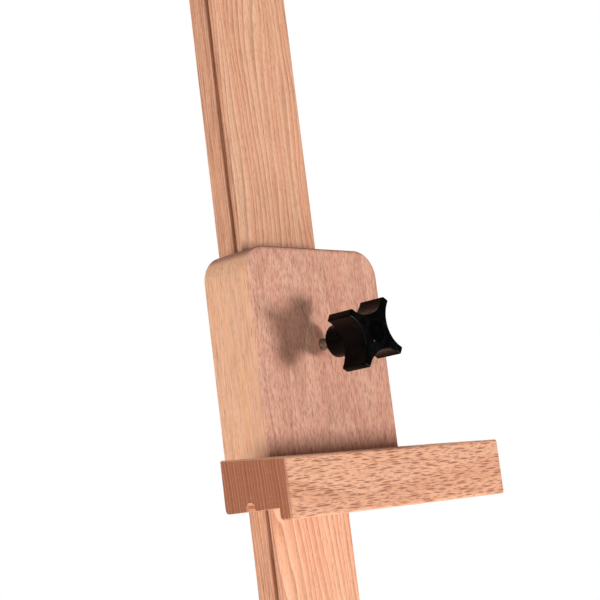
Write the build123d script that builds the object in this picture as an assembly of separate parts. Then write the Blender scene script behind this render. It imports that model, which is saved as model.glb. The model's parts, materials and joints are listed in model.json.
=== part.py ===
from build123d import *
import math
import os

# Wooden studio easel: an A-shaped beech frame leans back on one rear leg and carries a
# sliding mast. A tray and a canvas holder slide on the mast and are clamped by lobed knobs.
#
# All wooden work is drawn in the plane of the frame, which stands upright here: X across,
# Y from the mast's front face backwards, Z along the mast from the floor. At the end the
# whole easel leans back about X and is centred over the floor. Millimetres and degrees.

# --- Driving dimensions -----------------------------------------------------------------

# Overall
lean_angle = 10.0            # frame and mast from the vertical
leg_angle = 30.0             # rear leg from the frame when fully open
frame_height = 1150.0        # along the frame, floor to the top of the head
foot_spread = 580.0          # between the front legs' centrelines at the floor
head_spread = 152.0          # the same at the top of the head
mast_reach = 580.0           # mast above the head, fully lowered
mast_bottom = 70.0           # mast's lower end above the floor

# Mast
mast_width = 58.0
mast_thickness = 19.0
groove_setback = 3.1         # front face to the side groove
groove_width = 2.9
groove_depth = 5.0

# Frame timber
front_leg_width = 50.0
front_leg_thickness = 22.0
rear_leg_width = 44.0
rear_leg_thickness = 24.0
bar_thickness = 20.0
lower_bar_at = 325.0         # middle of the lower crossbar
lower_bar_height = 90.0
middle_bar_height = 60.0
head_block_height = 164.0
edge_radius = 2.5            # eased long edges of legs and mast

# Clearances
slide_gap = 0.4              # timber sliding on timber
turn_gap = 0.05              # shaft in its bore
free_gap = 0.3               # clamping faces with the knob slack
side_gap = 0.5               # rear leg to the hinge ears

# Canvas holder and tray carriages
block_width = 101.4
block_above_knob = 53.4      # knob axis to the block's free end
block_below_knob = 82.0      # knob axis to the ledge end of the block
block_front = 24.3           # mast front face to block front face
block_back = 8.6             # mast front face to the back of the cheeks
block_corner = 15.5
block_edge = 2.4
tongue_thickness = 1.9
tongue_hold = 4.0            # tongue let into the cheek
tongue_end_gap = 0.6         # tongue edge to the groove's floor
tongue_inset = 8.0           # tongue ends from the block ends

# Ledge profile, the same for the holder and the tray apart from depth and length
ledge_from_knob = 61.1       # knob axis to the near face at the ledge's front
ledge_plate = 23.5           # at the ledge's front
ledge_rise = 3.2             # how much thicker it is at its back
ledge_let_in = 1.6           # ledge housed in the block's front face
lip_height = 6.2
lip_thickness = 8.0
ledge_edge = 1.5
lip_radius = 2.4             # lip's inner corner and the ledge's back corner
grip_groove_from_back = 15.0
grip_groove_width = 6.6
grip_groove_depth = 4.3
holder_ledge_length = 163.6
holder_ledge_depth = 44.2
tray_ledge_length = 440.0
tray_ledge_depth = 62.0

# Places of the sliding pieces, fully lowered mast
holder_above_head = 296.6    # head top to the holder's knob axis
tray_above_guides = 123.0    # top of the lower guides to the tray's knob axis

# Guides, clamp block and hinge at the head
guide_width = 22.0
clamp_block_width = 112.0
clamp_block_height = 110.0
ear_thickness = 18.0
ear_reach = 17.0             # hinge axis to the ear's rounded end
ear_half_height = 20.0
hinge_from_top = 55.0
hinge_from_bar = 18.0        # back of the head block to the hinge axis
hinge_radius = 4.0
hinge_hex_radius = 7.5
hinge_head_height = 5.5
hinge_nut_height = 6.5
hinge_bolt_past_nut = 3.0
washer_radius = 9.0
washer_thickness = 1.6
ear_corner = 12.0
ear_screw_offset = 12.0
ear_screw_past_axis = 6.0
leg_round = 12.0             # rear leg's rounded head
trim_length = 100.0          # spare length of the legs, trimmed at the floor

# Sector plate that holds the rear leg's angle
sector_radius = 130.0        # hinge axis to the clamp stud
sector_half_width = 12.0
sector_thickness = 3.0
sector_gap = 1.0             # leg to plate
fold_angle = 28.0            # rear leg travel
slot_extra = 0.8             # slot beyond the stud at each end of the travel
flange_width = 20.0
flange_height = 44.0
flange_from_head = 4.0       # flange above the bottom of the head block
flange_screw_inset = 11.0
flange_screw_length = 20.0

# Lobed knob and its stud
knob_radius = 20.6
lobe_length = 16.5
hub_radius = 9.0
hub_length = 13.5
hub_edge = 1.2
knob_stand_off = 9.6         # hub to the block face
scallop_centre = 26.0
scallop_radius = 16.2
lobe_corner = 0.9            # corners of a lobe's outer end
lobe_edge = 0.5              # eased rims of the lobes
lobe_turn = 60.0             # first lobe from X
lobes = 4
cap_radius = 5.6
cap_depth = 4.0
cap_sink = 0.7
stud_radius = 3.0
stud_in_knob = 22.0
thread_pitch = 1.0
thread_depth = 0.35
insert_radius = 5.0
insert_length = 11.0
insert_shoulder = 3.0        # wood in front of an insert pressed in from the mast's side
pad_thickness = 3.0
rear_stud_spare = 4.0        # rear leg's stud beyond its insert

# Fasteners and feet
screw_radius = 2.0
screw_head_radius = 4.0
screw_head_height = 2.6
screw_tip = 4.0
screw_tip_radius = 0.4
screw_clear = 2.0            # ledge screws' tips to the grip groove
ledge_screw_inset = 8.0      # outer ledge screws from the mast's edges
ledge_screw_middle = 7.0
guide_screw_inset = 18.0
screw_short = 5.0            # guide screws' tips to the back of the crossbar
clamp_screw_inset = 22.0
clamp_screw_short = 12.0     # clamp block screws' tips to its front face
bolt_radius = 3.0
bolt_head_radius = 6.0
bolt_head_height = 5.0
counterbore_depth = 11.0
barrel_radius = 5.0
barrel_length = 15.0
barrel_from_joint = 28.0
bolt_past_barrel = 4.0
dowel_radius = 4.0
dowel_length = 36.0
joint_offset = 16.0          # bolt and dowel above and below the bar's middle
foot_height = 9.0
foot_inset = 1.5
foot_corner = 4.0

# --- Derived places ---------------------------------------------------------------------

mast_half = mast_width / 2
mast_top = frame_height + mast_reach
frame_front = mast_thickness + slide_gap
bar_back = frame_front + bar_thickness
channel_half = mast_half + slide_gap
channel_floor = -slide_gap
head_bottom = frame_height - head_block_height
guide_top = lower_bar_at + lower_bar_height / 2
middle_bar_at = (lower_bar_at + head_bottom) / 2
hinge_y = bar_back + hinge_from_bar
hinge_z = frame_height - hinge_from_top
clamp_knob_z = frame_height - clamp_block_height / 2
holder_knob_z = frame_height + holder_above_head
tray_knob_z = guide_top + tray_above_guides
plate_inner = rear_leg_width / 2 + sector_gap
plate_outer = plate_inner + sector_thickness
ear_inner = rear_leg_width / 2 + side_gap
ear_outer = ear_inner + ear_thickness
leg_slope = math.degrees(math.atan2((foot_spread - head_spread) / 2, frame_height))

parts = {}


# --- Helpers ----------------------------------------------------------------------------

def slab(x0, x1, y0, y1, z0, z1):
    """Box between two corners."""
    return Pos((x0 + x1) / 2, (y0 + y1) / 2, (z0 + z1) / 2) * Box(x1 - x0, y1 - y0, z1 - z0)


def along(axis, radius, start, length, tip_radius=None):
    """Cylinder, or cone with a tip radius, from start along an axis such as +X or -Y."""
    turn = {"+X": Rot(0, 90, 0), "-X": Rot(0, -90, 0), "+Y": Rot(-90, 0, 0),
            "-Y": Rot(90, 0, 0), "+Z": Rot(0, 0, 0), "-Z": Rot(180, 0, 0)}[axis]
    low = (Align.CENTER, Align.CENTER, Align.MIN)
    if tip_radius is None:
        body = Cylinder(radius, length, align=low)
    else:
        body = Cone(radius, tip_radius, length, align=low)
    return Pos(*start) * turn * body


def board(points, y0, y1):
    """Outline in X and Z, filled from y0 to y1."""
    solid = extrude(Plane.XZ * Polygon(*points, align=None), amount=y1 - y0, dir=(0, 1, 0))
    return Pos(0, y0, 0) * solid


def profile(points, x0, x1):
    """Outline in Y and Z, filled from x0 to x1."""
    solid = extrude(Plane.YZ * Polygon(*points, align=None), amount=x1 - x0, dir=(1, 0, 0))
    return Pos(x0, 0, 0) * solid


def long_edges(shape, axis, least):
    """Straight edges near an axis direction that are longer than a least length."""
    chosen = []
    for edge in shape.edges().filter_by(GeomType.LINE):
        if edge.length > least and abs(edge.tangent_at(0).dot(axis.direction)) > 0.9:
            chosen.append(edge)
    return chosen


def wood_screw(axis, start, length, clearance=0.0):
    """Countersunk screw whose head is flush at start; with clearance, the hole for it."""
    step = {"X": (1, 0, 0), "Y": (0, 1, 0), "Z": (0, 0, 1)}[axis[1]]
    sign = 1 if axis[0] == "+" else -1
    shank = screw_radius + clearance
    reach = length - screw_tip

    def at(distance):
        return tuple(s + sign * distance * d for s, d in zip(start, step))

    head = along(axis, screw_head_radius + clearance, start, screw_head_height, shank)
    body = along(axis, shank, start, reach)
    point = along(axis, shank, at(reach), screw_tip + clearance, screw_tip_radius)
    return head + body + point


def group(solids):
    """Separate solids kept together under one name."""
    return Compound(children=list(solids))


# --- Knob, stud, insert and pressure pad ------------------------------------------------
# Drawn along +Z with the clamped face at 0: the knob is outside, the insert inside.

def knob_body(stand_off):
    lobe_start = stand_off + hub_length
    face = lobe_start + lobe_length
    low = (Align.CENTER, Align.CENTER, Align.MIN)
    head = Pos(0, 0, lobe_start) * Cylinder(knob_radius, lobe_length, align=low)
    for count in range(lobes):
        angle = lobe_turn + (count + 0.5) * 360 / lobes
        cutter = Cylinder(scallop_radius, lobe_length, align=low)
        head -= Rot(0, 0, angle) * Pos(scallop_centre, 0, lobe_start) * cutter
    sharp = [edge for edge in head.edges().filter_by(GeomType.LINE)
             if edge.length > lobe_length / 2]
    head = fillet(sharp, lobe_corner)
    rims = head.edges().group_by(Axis.Z)
    head = fillet(rims[0] + rims[-1], lobe_edge)
    hub = Pos(0, 0, stand_off) * Cylinder(hub_radius, hub_length, align=low)
    hub = chamfer(hub.edges().group_by(Axis.Z)[0], hub_edge)
    body = head + hub
    body -= Pos(0, 0, face - cap_depth) * Cylinder(cap_radius, cap_depth, align=low)
    body -= Pos(0, 0, stand_off) * Cylinder(stud_radius, stud_in_knob, align=low)
    return body


def knob_cap(stand_off):
    face = stand_off + hub_length + lobe_length
    low = (Align.CENTER, Align.CENTER, Align.MIN)
    cap = Pos(0, 0, face - cap_depth) * Cylinder(cap_radius, cap_depth - cap_sink, align=low)
    return fillet(cap.edges().group_by(Axis.Z)[-1], cap_sink)


def knob_stud(stand_off, depth):
    """Threaded stud from inside the knob to depth below the clamped face."""
    low = (Align.CENTER, Align.CENTER, Align.MIN)
    length = depth + stand_off + stud_in_knob
    stud = Pos(0, 0, -depth) * Cylinder(stud_radius, length, align=low)
    turns = int((stand_off - thread_pitch) / thread_pitch)
    for turn in range(turns):
        ring = Cylinder(stud_radius + 1, thread_pitch / 2, align=low)
        ring -= Cylinder(stud_radius - thread_depth, thread_pitch / 2, align=low)
        stud -= Pos(0, 0, (turn + 0.5) * thread_pitch) * ring
    return stud


def thread_insert(shoulder=0.0):
    high = (Align.CENTER, Align.CENTER, Align.MAX)
    bore = Cylinder(stud_radius + turn_gap, insert_length, align=high)
    return Pos(0, 0, -shoulder) * (Cylinder(insert_radius, insert_length, align=high) - bore)


def shoulder_hole():
    """Clearance for the stud through the wood in front of an insert."""
    high = (Align.CENTER, Align.CENTER, Align.MAX)
    return Cylinder(stud_radius + free_gap, insert_shoulder, align=high)


def add_knob(prefix, place, stand_off, depth):
    parts[prefix + "_knob"] = place * knob_body(stand_off)
    parts[prefix + "_knob_cap"] = place * knob_cap(stand_off)
    parts[prefix + "_knob_stud"] = place * knob_stud(stand_off, depth)


def front_place(z):
    """Local +Z of a knob turned to face forwards at a block's front face."""
    return Pos(0, -block_front, z) * Rot(90, 0, 0)


stud_reach = block_front - free_gap - pad_thickness - free_gap


def pressure_pad(z):
    return along("+Y", insert_radius - free_gap, (0, -free_gap - pad_thickness, z), pad_thickness)


def clamp_bore(z):
    """Hole for the insert and the pad from the mast's side, and for the stud in front."""
    depth = block_front - slide_gap - insert_shoulder
    return along("-Y", insert_radius, (0, channel_floor, z), depth) + front_place(z) * shoulder_hole()


# --- Carriages on the mast --------------------------------------------------------------
# sense = +1 is the canvas holder, with its ledge below the knob; -1 is the tray, upside down.

def carriage_block(z, sense):
    """Block with a channel for the mast; its two free corners are rounded."""
    free_end = z + sense * block_above_knob
    ledge_end = z - sense * block_below_knob
    low, high = sorted((free_end, ledge_end))
    half = block_width / 2
    block = slab(-half, half, -block_front, block_back, low, high)
    corners = [edge for edge in block.edges().filter_by(Axis.Y)
               if abs(edge.center().Z - free_end) < 1]
    block = fillet(corners, block_corner)
    front = [edge for edge in block.edges()
             if abs(edge.center().Y + block_front) < 0.01 and abs(edge.center().Z - ledge_end) > 1]
    block = fillet(front, block_edge)
    block -= slab(-channel_half, channel_half, channel_floor, block_back, low, high)
    return block


def tongue(z, sense, side):
    """Hardwood tongue: held in the cheek, running in the mast's side groove."""
    ends = sorted((z + sense * (block_above_knob - block_corner - tongue_inset),
                   z - sense * (block_below_knob - tongue_inset)))
    middle = groove_setback + groove_width / 2
    inner = mast_half - groove_depth + tongue_end_gap
    outer = channel_half + tongue_hold
    near, far = sorted((side * inner, side * outer))
    return slab(near, far, middle - tongue_thickness / 2, middle + tongue_thickness / 2, *ends)


def ledge(z, sense, length, depth):
    """Ledge on the block's front face; its lip turns away from the knob."""
    back = ledge_let_in - block_front
    front = -block_front - depth
    near = z - sense * ledge_from_knob
    face = near - sense * ledge_plate
    tip = face - sense * lip_height
    outline = [(back, near + sense * ledge_rise), (front, near), (front, tip),
               (front + lip_thickness, tip), (front + lip_thickness, face), (back, face)]
    half = length / 2
    body = profile(outline, -half, half)
    corners = [(front + lip_thickness, tip), (back, face)]
    rounded = [edge for edge in body.edges().filter_by(Axis.X)
               if any(abs(edge.center().Y - y) + abs(edge.center().Z - at) < 0.01
                      for y, at in corners)]
    body = fillet(rounded, lip_radius)
    eased = [edge for edge in body.edges().filter_by(Axis.X) if abs(edge.center().Y - front) < 0.01]
    body = fillet(eased, ledge_edge)
    ends = [edge for edge in body.edges().filter_by(Axis.Z)
            if abs(edge.center().Y - front) < 0.01]
    body = chamfer(ends, ledge_edge / 2)
    middle = back - grip_groove_from_back - grip_groove_width / 2
    crown = min(grip_groove_depth, grip_groove_width / 2)
    straight = grip_groove_depth - crown
    low, high = sorted((face, face + sense * straight))
    groove = along("+X", crown, (-half, middle, face + sense * straight), length)
    if high > low:
        groove += slab(-half, half, middle - grip_groove_width / 2,
                       middle + grip_groove_width / 2, low, high)
    return body - groove


def ledge_screws(z, sense, length, clearance=0.0):
    """Four screws from the channel's floor through the block into the ledge."""
    level = z - sense * (ledge_from_knob + ledge_plate / 2)
    reach = block_front - slide_gap - ledge_let_in + grip_groove_from_back - screw_clear
    outer = mast_half - ledge_screw_inset
    places = [(x, level) for x in (-outer, -ledge_screw_middle, ledge_screw_middle, outer)]
    return [wood_screw("-Y", (x, channel_floor, at), reach, clearance) for x, at in places]


def add_carriage(prefix, z, sense, length, depth):
    """Block, ledge, tongues, insert, pad, screws and knob of one carriage."""
    block = carriage_block(z, sense)
    shelf = ledge(z, sense, length, depth)
    tongues = [tongue(z, sense, side) for side in (-1, 1)]
    for piece in tongues:
        block -= piece
    block -= shelf
    block -= clamp_bore(z)
    for hole in ledge_screws(z, sense, length, turn_gap):
        block -= hole
        shelf -= hole
    parts[prefix + "_block"] = block
    parts[prefix + "_ledge"] = shelf
    parts[prefix + "_tongues"] = group(tongues)
    parts[prefix + "_insert"] = front_place(z) * thread_insert(insert_shoulder)
    parts[prefix + "_pressure_pad"] = pressure_pad(z)
    parts[prefix + "_screws"] = group(ledge_screws(z, sense, length))
    add_knob(prefix, front_place(z), knob_stand_off, stud_reach)


# --- Mast -------------------------------------------------------------------------------

def make_mast():
    mast = slab(-mast_half, mast_half, 0, mast_thickness, mast_bottom, mast_top)
    mast = fillet(long_edges(mast, Axis.Z, mast_width * 2), 0.8)
    for side in (-1, 1):
        near, far = sorted((side * (mast_half - groove_depth), side * (mast_half + 1)))
        mast -= slab(near, far, groove_setback, groove_setback + groove_width,
                     mast_bottom, mast_top)
    return mast


# --- Frame ------------------------------------------------------------------------------

def leg_centre(z):
    """Front leg's centreline from the middle of the frame."""
    return foot_spread / 2 - z * math.tan(math.radians(leg_slope))


half_run = front_leg_width / 2 / math.cos(math.radians(leg_slope))


def front_leg(side):
    below = -trim_length
    outline = [(side * (leg_centre(below) - half_run), below),
               (side * (leg_centre(below) + half_run), below),
               (side * (leg_centre(frame_height) + half_run), frame_height),
               (side * (leg_centre(frame_height) - half_run), frame_height)]
    leg = board(outline, frame_front, frame_front + front_leg_thickness)
    return fillet(long_edges(leg, Axis.Z, frame_height / 2), edge_radius)


def crossbar(middle, height):
    """Board between the legs; its ends follow their slope."""
    low, high = middle - height / 2, middle + height / 2
    wide, narrow = leg_centre(low) - half_run, leg_centre(high) - half_run
    return board([(-wide, low), (wide, low), (narrow, high), (-narrow, high)],
                 frame_front, bar_back)


def joint_hardware(middle, offset, side):
    """Bolt, its hole, barrel nut and dowel that join a bar to one leg."""
    bar_mid = frame_front + bar_thickness / 2
    bolt_z, dowel_z = middle + offset, middle - offset
    face = leg_centre(bolt_z) - half_run
    seat = leg_centre(bolt_z) + half_run - counterbore_depth
    barrel = face - barrel_from_joint
    tip = barrel - barrel_radius - bolt_past_barrel
    inward = "-X" if side > 0 else "+X"
    outward = "+X" if side > 0 else "-X"
    bolt = along(inward, bolt_radius, (side * seat, bar_mid, bolt_z), seat - tip)
    bolt += along(outward, bolt_head_radius, (side * seat, bar_mid, bolt_z), bolt_head_height)
    hole = along(inward, bolt_radius + turn_gap, (side * seat, bar_mid, bolt_z), seat - tip + 2)
    hole += along(outward, bolt_head_radius + free_gap, (side * seat, bar_mid, bolt_z),
                  counterbore_depth * 2)
    nut_hole = along("-Y", barrel_radius, (side * barrel, bar_back, bolt_z),
                     (bar_thickness + barrel_length) / 2)
    nut = along("-Y", barrel_radius, (side * barrel, bar_mid + barrel_length / 2, bolt_z),
                barrel_length)
    nut -= along(inward, bolt_radius + turn_gap, (side * (barrel + barrel_radius), bar_mid, bolt_z),
                 barrel_radius * 2)
    dowel_mid = leg_centre(dowel_z) - half_run
    dowel = along("+X", dowel_radius, (side * dowel_mid - dowel_length / 2, bar_mid, dowel_z),
                  dowel_length)
    return {"bolt": bolt, "hole": hole, "nut": nut, "nut_hole": nut_hole, "dowel": dowel}


def make_frame():
    legs = {side: front_leg(side) for side in (-1, 1)}
    bars = {"lower_crossbar": crossbar(lower_bar_at, lower_bar_height),
            "middle_crossbar": crossbar(middle_bar_at, middle_bar_height),
            "head_block": crossbar(frame_height - head_block_height / 2, head_block_height)}
    joints = [("lower_crossbar", lower_bar_at, joint_offset),
              ("middle_crossbar", middle_bar_at, joint_offset * 0.7),
              ("head_block", frame_height - head_block_height / 2, joint_offset * 2)]
    bolts, nuts, dowels = [], [], []
    for name, middle, offset in joints:
        for side in (-1, 1):
            kit = joint_hardware(middle, offset, side)
            legs[side] -= kit["hole"] + kit["dowel"]
            bars[name] -= kit["hole"] + kit["dowel"] + kit["nut_hole"]
            bolts.append(kit["bolt"])
            nuts.append(kit["nut"])
            dowels.append(kit["dowel"])
    parts["front_leg_left"], parts["front_leg_right"] = legs[-1], legs[1]
    parts.update(bars)
    parts["frame_bolts"] = group(bolts)
    parts["frame_barrel_nuts"] = group(nuts)
    parts["frame_dowels"] = group(dowels)


def make_guides():
    """Two cheeks on the lower crossbar with tongues in the mast's grooves."""
    low = lower_bar_at - lower_bar_height / 2
    middle = groove_setback + groove_width / 2
    screws = []
    for side, name in ((-1, "left"), (1, "right")):
        near, far = sorted((side * channel_half, side * (channel_half + guide_width)))
        cheek = slab(near, far, 0, frame_front, low, guide_top)
        rounded = [edge for edge in cheek.edges().filter_by(Axis.Z)
                   if edge.center().Y < 1 and abs(edge.center().X) > channel_half + 1]
        cheek = fillet(rounded, block_edge)
        inner, outer = sorted((side * (mast_half - groove_depth + tongue_end_gap),
                               side * channel_half))
        cheek += slab(inner, outer, middle - tongue_thickness / 2,
                      middle + tongue_thickness / 2, low, guide_top)
        for z in (low + guide_screw_inset, guide_top - guide_screw_inset):
            start = (side * (channel_half + guide_width / 2), 0, z)
            reach = bar_back - screw_short
            hole = wood_screw("+Y", start, reach, turn_gap)
            cheek -= hole
            parts["lower_crossbar"] -= hole
            screws.append(wood_screw("+Y", start, reach))
        parts["mast_guide_" + name] = cheek
    parts["mast_guide_screws"] = group(screws)


def make_clamp_block():
    """Block round the front of the mast at the head, with the mast's clamp knob."""
    half = clamp_block_width / 2
    low = frame_height - clamp_block_height
    block = slab(-half, half, -block_front, frame_front, low, frame_height)
    block = fillet(block.edges().filter_by(Axis.Y), block_edge * 2)
    block = fillet([edge for edge in block.edges()
                    if abs(edge.center().Y + block_front) < 0.01], block_edge)
    block -= slab(-channel_half, channel_half, channel_floor, frame_front, low, frame_height)
    block -= clamp_bore(clamp_knob_z)
    screws = []
    for side in (-1, 1):
        for z in (low + clamp_screw_inset, frame_height - clamp_screw_inset):
            start = (side * (half + channel_half) / 2, bar_back, z)
            reach = bar_back + block_front - clamp_screw_short
            hole = wood_screw("-Y", start, reach, turn_gap)
            block -= hole
            parts["head_block"] -= hole
            screws.append(wood_screw("-Y", start, reach))
    parts["mast_clamp_block"] = block
    parts["mast_clamp_insert"] = front_place(clamp_knob_z) * thread_insert(insert_shoulder)
    parts["mast_clamp_pad"] = pressure_pad(clamp_knob_z)
    parts["mast_clamp_screws"] = group(screws)
    add_knob("mast", front_place(clamp_knob_z), knob_stand_off, stud_reach)


# --- Rear leg and its hinge -------------------------------------------------------------

def make_hinge():
    """Two ears on the head block carry the hinge bolt."""
    screws = []
    for side, name in ((-1, "left"), (1, "right")):
        near, far = sorted((side * ear_inner, side * ear_outer))
        ear = slab(near, far, bar_back, hinge_y + ear_reach,
                   hinge_z - ear_half_height, hinge_z + ear_half_height)
        rounded = [edge for edge in ear.edges().filter_by(Axis.X)
                   if edge.center().Y > hinge_y]
        ear = fillet(rounded, ear_corner)
        ear -= along("+X", hinge_radius + turn_gap, (near, hinge_y, hinge_z), far - near)
        for offset in (-ear_screw_offset, ear_screw_offset):
            start = (side * (ear_inner + ear_thickness / 2), frame_front, hinge_z + offset)
            reach = hinge_y - frame_front + ear_screw_past_axis
            hole = wood_screw("+Y", start, reach, turn_gap)
            ear -= hole
            parts["head_block"] -= hole
            screws.append(wood_screw("+Y", start, reach))
        parts["hinge_ear_" + name] = ear
    outside = ear_outer + washer_thickness
    bolt = along("+X", hinge_radius, (-outside, hinge_y, hinge_z),
                 outside * 2 + hinge_nut_height + hinge_bolt_past_nut)
    turned = Pos(-outside, hinge_y, hinge_z) * Rot(0, -90, 0)
    bolt += turned * extrude(RegularPolygon(hinge_hex_radius, 6), amount=hinge_head_height)
    parts["hinge_bolt"] = bolt
    turned = Pos(outside, hinge_y, hinge_z) * Rot(0, 90, 0)
    outline = RegularPolygon(hinge_hex_radius, 6) - Circle(hinge_radius)
    parts["hinge_nut"] = turned * extrude(outline, amount=hinge_nut_height)
    rings = []
    for start in (-outside, ear_outer):
        ring = along("+X", washer_radius, (start, hinge_y, hinge_z), washer_thickness)
        bore = along("+X", hinge_radius, (start, hinge_y, hinge_z), washer_thickness)
        rings.append(ring - bore)
    parts["hinge_washers"] = group(rings)
    parts["hinge_ear_screws"] = group(screws)


def polar(radius, angle):
    """Y and Z at an angle from straight down the frame, about the hinge axis."""
    turn = math.radians(angle)
    return hinge_y + radius * math.sin(turn), hinge_z - radius * math.cos(turn)


def arc_band(radius, half_width, first, last):
    """Closed band along an arc about the hinge axis, with round ends."""
    path = CenterArc((hinge_y, hinge_z), radius, first - 90, last - first)
    return trace(path, half_width * 2)


def make_sector():
    """Flanged steel plate with an arc slot for the rear leg's clamp stud."""
    margin = math.degrees(sector_half_width / sector_radius)
    shut, wide = leg_angle - fold_angle, leg_angle
    outline = arc_band(sector_radius, sector_half_width, shut - margin / 2, wide + margin)
    web_low = hinge_z - sector_radius - sector_half_width
    web_high = head_bottom + flange_from_head + flange_height
    web_y = hinge_y + sector_half_width
    outline += Pos((bar_back + web_y) / 2, (web_low + web_high) / 2) * Rectangle(
        web_y - bar_back, web_high - web_low)
    for angle in (shut, wide):
        y, z = polar(sector_radius, angle)
        outline += Pos(y, z) * Circle(sector_half_width)
    slot_half = stud_radius + free_gap
    spare = math.degrees(slot_extra / sector_radius)
    slot = arc_band(sector_radius, slot_half, shut - spare, wide + spare)
    for angle in (shut - spare, wide + spare):
        y, z = polar(sector_radius, angle)
        slot += Pos(y, z) * Circle(slot_half)
    plate = extrude(Plane.YZ * (outline - slot), amount=sector_thickness)
    plate = Pos(plate_inner, 0, 0) * plate
    flange = slab(plate_outer, plate_outer + flange_width, bar_back,
                  bar_back + sector_thickness, head_bottom + flange_from_head, web_high)
    plate += flange
    screws = []
    for z in (head_bottom + flange_from_head + flange_screw_inset, web_high - flange_screw_inset):
        start = (plate_outer + flange_width / 2, bar_back + sector_thickness, z)
        hole = wood_screw("-Y", start, flange_screw_length, turn_gap)
        plate -= hole
        parts["head_block"] -= hole
        screws.append(wood_screw("-Y", start, flange_screw_length))
    parts["leg_sector_plate"] = plate
    parts["leg_sector_screws"] = group(screws)


def make_rear_leg():
    half = rear_leg_width / 2
    reach = hinge_z / math.cos(math.radians(leg_angle - lean_angle)) + trim_length
    thick = rear_leg_thickness / 2
    leg = slab(-half, half, -thick, thick, -reach, 0)
    leg += along("+X", leg_round, (-half, 0, 0), rear_leg_width)
    leg = fillet(long_edges(leg, Axis.Z, reach / 2), edge_radius)
    leg -= along("+X", hinge_radius + turn_gap, (-half, 0, 0), rear_leg_width)
    stud_hole = Pos(half, 0, -sector_radius) * Rot(0, 90, 0)
    depth = insert_length + rear_stud_spare * 2
    leg -= along("-X", insert_radius, (half, 0, -sector_radius), insert_length)
    leg -= along("-X", stud_radius + free_gap, (half, 0, -sector_radius), depth)
    swing = Pos(0, hinge_y, hinge_z) * Rot(leg_angle, 0, 0)
    parts["rear_leg"] = swing * leg
    parts["rear_leg_insert"] = swing * stud_hole * thread_insert()
    stand_off = sector_gap + sector_thickness + free_gap
    add_knob("rear_leg", swing * stud_hole, stand_off, insert_length + rear_stud_spare)


# --- Feet and the finished stance -------------------------------------------------------

lean = Rot(-lean_angle, 0, 0)


def cut_to_floor(shape):
    """Trim a leaning leg level at the top of its rubber foot."""
    box = shape.bounding_box()
    return shape - slab(box.min.X - 1, box.max.X + 1, box.min.Y - 1, box.max.Y + 1,
                        box.min.Z - 1, foot_height)


def sole(leg):
    """Rubber foot under the level end of a leg, slightly inside its outline."""
    end = leg.faces().sort_by(Axis.Z)[0].bounding_box()
    foot = slab(end.min.X + foot_inset, end.max.X - foot_inset,
                end.min.Y + foot_inset, end.max.Y - foot_inset, 0, foot_height)
    return fillet(foot.edges().filter_by(Axis.Z), foot_corner)


make_frame()
make_guides()
make_clamp_block()
make_hinge()
make_sector()
make_rear_leg()
parts["mast"] = make_mast()
add_carriage("holder", holder_knob_z, 1, holder_ledge_length, holder_ledge_depth)
add_carriage("tray", tray_knob_z, -1, tray_ledge_length, tray_ledge_depth)

leaning = {name: lean * shape for name, shape in parts.items()}
for name in ("front_leg_left", "front_leg_right", "rear_leg"):
    leaning[name] = cut_to_floor(leaning[name])
    leaning[name.replace("leg", "foot")] = sole(leaning[name])

front = min(shape.bounding_box().min.Y for shape in leaning.values())
rear = max(shape.bounding_box().max.Y for shape in leaning.values())
centre_y = (front + rear) / 2
stance = Pos(0, -centre_y, 0)

os.makedirs("parts", exist_ok=True)
for name, shape in leaning.items():
    export_step(stance * shape, f"parts/{name}.step")

hinge_place = stance * lean * Pos(0, hinge_y, hinge_z)
print("hinge", hinge_place.position)
print("mast origin", (stance * lean * Pos(0, 0, 0)).position)
print("nodes", len(leaning))
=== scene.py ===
import json
import logging
import math
from dataclasses import dataclass, field
from enum import Enum
from typing import Callable

import bpy
from mathutils import Euler, Matrix, Vector

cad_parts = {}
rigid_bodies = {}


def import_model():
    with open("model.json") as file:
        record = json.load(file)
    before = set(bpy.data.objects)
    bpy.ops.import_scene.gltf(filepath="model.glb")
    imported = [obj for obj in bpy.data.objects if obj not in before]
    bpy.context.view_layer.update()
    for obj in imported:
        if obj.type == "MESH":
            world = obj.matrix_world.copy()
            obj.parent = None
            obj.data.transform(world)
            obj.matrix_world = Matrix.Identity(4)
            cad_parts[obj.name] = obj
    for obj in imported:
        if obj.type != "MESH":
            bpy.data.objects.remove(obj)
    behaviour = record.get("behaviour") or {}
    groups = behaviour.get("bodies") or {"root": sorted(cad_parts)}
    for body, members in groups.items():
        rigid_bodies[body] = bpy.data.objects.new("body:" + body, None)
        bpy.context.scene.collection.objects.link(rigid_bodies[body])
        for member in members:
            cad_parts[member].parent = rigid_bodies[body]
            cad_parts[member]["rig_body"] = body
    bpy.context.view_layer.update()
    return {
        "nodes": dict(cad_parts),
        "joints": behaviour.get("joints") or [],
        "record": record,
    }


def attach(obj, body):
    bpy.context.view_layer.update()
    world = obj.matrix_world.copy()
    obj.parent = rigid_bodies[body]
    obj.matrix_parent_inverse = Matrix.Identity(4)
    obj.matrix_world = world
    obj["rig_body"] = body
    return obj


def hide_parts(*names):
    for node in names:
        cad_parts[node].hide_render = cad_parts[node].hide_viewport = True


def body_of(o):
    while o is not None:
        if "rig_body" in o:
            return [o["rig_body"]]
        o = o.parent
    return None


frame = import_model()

# Looks of a wooden studio easel: beech frame, mast and carriages, black lobed knobs on
# brass studs, zinc-plated fittings and rubber feet. Lengths are in metres unless a name
# ends in _mm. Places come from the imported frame.

LOG = logging.getLogger("easel")
MM = 0.001
Colour = tuple[float, float, float, float]
Range = tuple[float, float]


class Slot(Enum):
    """Material slots of the record that the new pieces take their finish from."""

    PLASTIC = "black_plastic"
    BRASS = "brass"
    STEEL = "zinc_steel"
    RUBBER = "rubber"


# --- Places read from the frame ----------------------------------------------------------


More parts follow.
